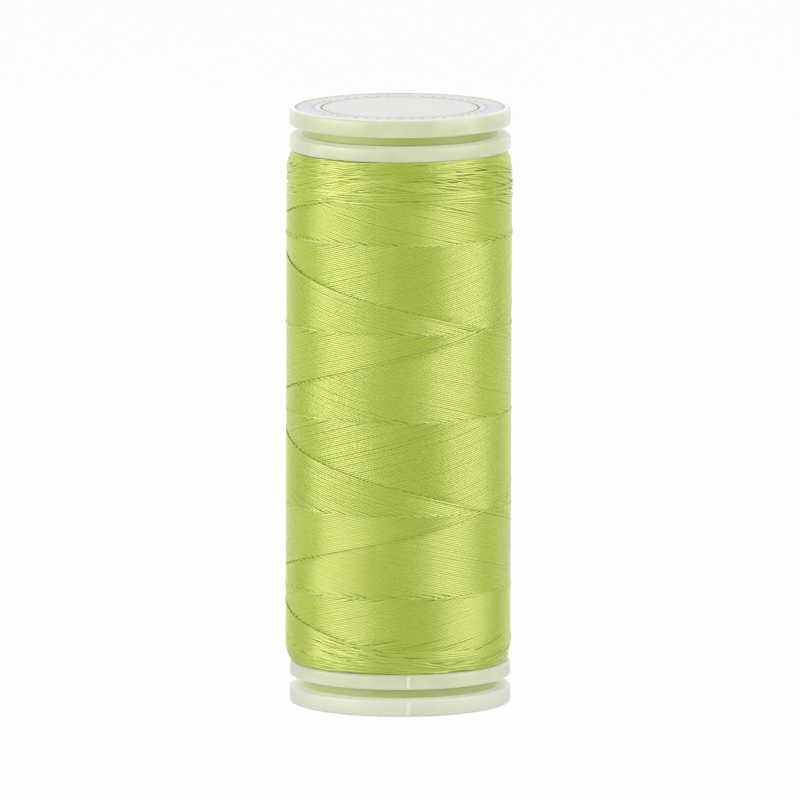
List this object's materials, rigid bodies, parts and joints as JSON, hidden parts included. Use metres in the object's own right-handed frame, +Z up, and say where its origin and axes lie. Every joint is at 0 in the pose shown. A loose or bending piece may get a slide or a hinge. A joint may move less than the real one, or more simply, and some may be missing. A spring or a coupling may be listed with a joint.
{
  "type": "spool of sewing thread",
  "caption": "Cross-wound sewing thread on a hollow flanged barrel, with a cap snapped into each end that pulls out a little to open a groove for the thread tail.",
  "frame": {"origin": "centre of the base, where the spool's axis meets the surface that it stands on", "axes": "+Z up along the barrel's axis, towards the labelled top cap; -Y towards the side whose moulding ridge shows"},
  "size_m": [0.0268, 0.0268, 0.0708],
  "materials": {
    "spool_plastic": "translucent, milky, fine satin",
    "label_paper": "smooth coated paper",
    "thread": "lustrous filament sewing thread"
  },
  "bodies": {
    "spool": {"barrel": "spool_plastic", "lower_flange": "spool_plastic", "upper_flange": "spool_plastic", "thread_core": "thread", "thread_winding": "thread"},
    "base_cap": {"base_cap": "spool_plastic", "base_label": "label_paper"},
    "top_cap": {"top_cap": "spool_plastic", "top_label": "label_paper"}
  },
  "joints": [
    {"name": "base_cap_pull", "type": "slide", "parent": "spool", "child": "base_cap", "axis": [0, 0, -1], "range_m": [0, 0.0018]},
    {"name": "top_cap_pull", "type": "slide", "parent": "spool", "child": "top_cap", "axis": [0, 0, 1], "range_m": [0, 0.0018]}
  ]
}
